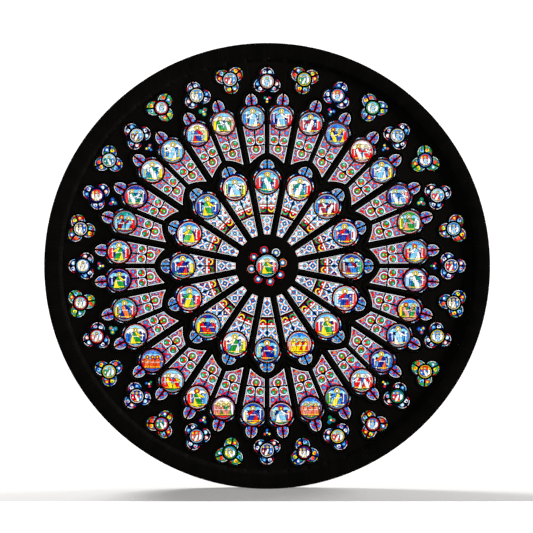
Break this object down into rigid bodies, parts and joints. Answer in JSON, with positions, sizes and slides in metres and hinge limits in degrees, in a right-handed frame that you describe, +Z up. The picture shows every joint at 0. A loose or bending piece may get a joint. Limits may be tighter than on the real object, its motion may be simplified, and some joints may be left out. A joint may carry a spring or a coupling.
{
  "type": "rose window",
  "caption": "Round stone rose window with radiating traceried lights of leaded stained glass, set in a splayed circular rim.",
  "frame": {"origin": "middle of the flat bed under the rim, at the lowest point of the window and half way through its depth", "axes": "+Z up along the window's upright diameter, +X to the right seen from the side that the picture shows, -Y out of that side; the wheel's axis runs along Y"},
  "size_m": [12.9014, 0.6, 12.9013],
  "materials": {
    "stone": "limestone, soot-dark, tooled",
    "inner_glass": "leaded, pale and deep blue with red and green",
    "outer_glass": "leaded, red and blue lattice with green roundels",
    "hub_glass": "leaded, blue, green, yellow and red",
    "iron": "black wrought bars and rings",
    "lead": "dark lead cames and paint lines"
  },
  "bodies": {
    "root": {"rim": "stone", "outer_tracery": "stone", "inner_tracery": "stone", "hub_ring": "stone", "hub_glass": "hub_glass", "inner_light_glass_01": "inner_glass", "inner_light_glass_02": "inner_glass", "inner_light_glass_03": "inner_glass", "inner_light_glass_04": "inner_glass", "inner_light_glass_05": "inner_glass", "inner_light_glass_06": "inner_glass", "inner_light_glass_07": "inner_glass", "inner_light_glass_08": "inner_glass", "inner_light_glass_09": "inner_glass", "inner_light_glass_10": "inner_glass", "inner_light_glass_11": "inner_glass", "inner_light_glass_12": "inner_glass", "inner_light_glass_13": "inner_glass", "inner_light_glass_14": "inner_glass", "inner_light_glass_15": "inner_glass", "inner_light_glass_16": "inner_glass", "outer_light_glass_01": "outer_glass", "outer_light_glass_02": "outer_glass", "outer_light_glass_03": "outer_glass", "outer_light_glass_04": "outer_glass", "outer_light_glass_05": "outer_glass", "outer_light_glass_06": "outer_glass", "outer_light_glass_07": "outer_glass", "outer_light_glass_08": "outer_glass", "outer_light_glass_09": "outer_glass", "outer_light_glass_10": "outer_glass", "outer_light_glass_11": "outer_glass", "outer_light_glass_12": "outer_glass", "outer_light_glass_13": "outer_glass", "outer_light_glass_14": "outer_glass", "outer_light_glass_15": "outer_glass", "outer_light_glass_16": "outer_glass", "outer_light_glass_17": "outer_glass", "outer_light_glass_18": "outer_glass", "outer_light_glass_19": "outer_glass", "outer_light_glass_20": "outer_glass", "outer_light_glass_21": "outer_glass", "outer_light_glass_22": "outer_glass", "outer_light_glass_23": "outer_glass", "outer_light_glass_24": "outer_glass", "outer_light_glass_25": "outer_glass", "outer_light_glass_26": "outer_glass", "outer_light_glass_27": "outer_glass", "outer_light_glass_28": "outer_glass", "outer_light_glass_29": "outer_glass", "outer_light_glass_30": "outer_glass", "outer_light_glass_31": "outer_glass", "outer_light_glass_32": "outer_glass"}
  },
  "joints": []
}
